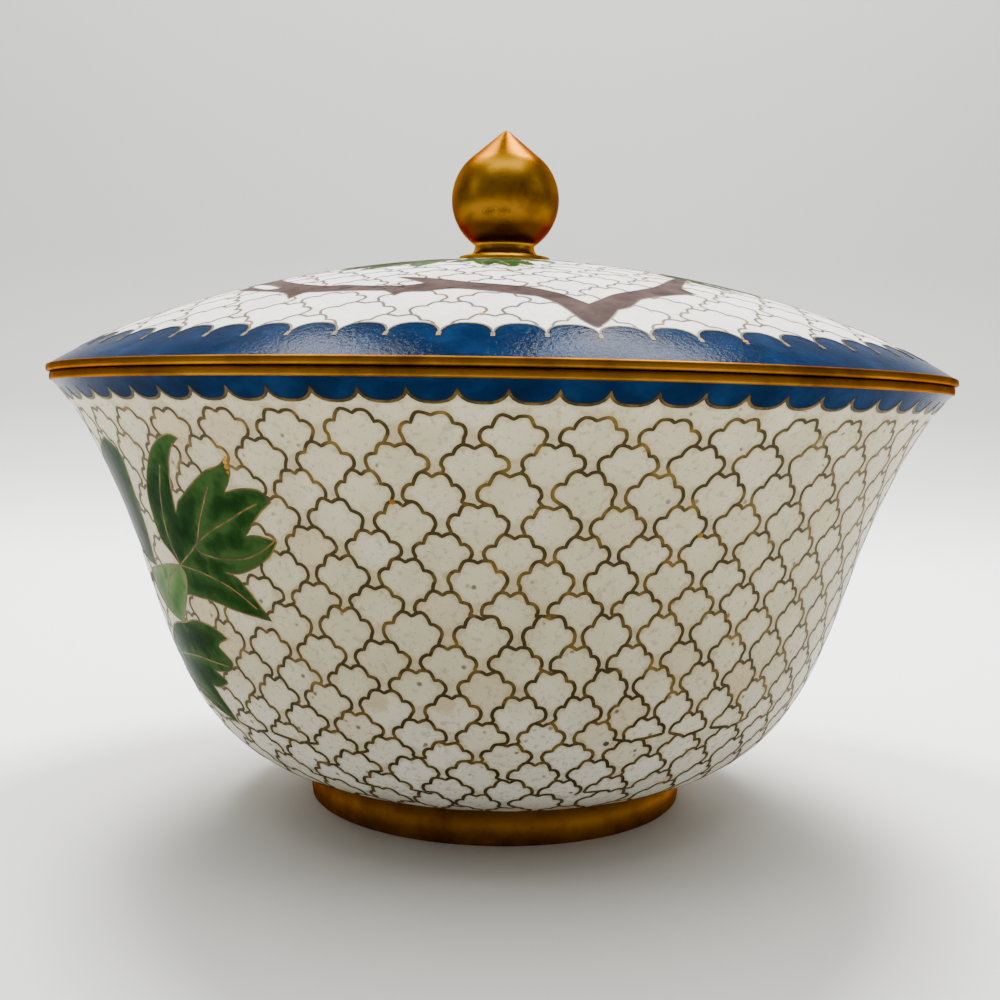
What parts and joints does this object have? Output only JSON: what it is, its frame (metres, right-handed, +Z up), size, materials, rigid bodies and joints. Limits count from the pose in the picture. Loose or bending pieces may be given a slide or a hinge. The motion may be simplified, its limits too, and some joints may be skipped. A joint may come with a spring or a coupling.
{
  "type": "covered bowl",
  "caption": "Round enamelled metal bowl on a foot ring, hollow and empty, under a domed lift-off lid with a pointed knob.",
  "frame": {"origin": "centre of the foot ring's underside, where the bowl stands", "axes": "+Z up along the bowl's axis of revolution; -Y towards the side the picture shows"},
  "size_m": [0.1258, 0.1258, 0.0963],
  "materials": {
    "enamel": "glossy",
    "gilt_brass": "worn gilding",
    "foot_brass": "worn gilding",
    "knob_brass": "polished, tarnished"
  },
  "bodies": {
    "root": {"foot_ring": "foot_brass", "bowl_body": "enamel", "bowl_rim": "gilt_brass", "lid_rim": "gilt_brass", "lid_shell": "enamel", "finial": "knob_brass"}
  },
  "joints": []
}
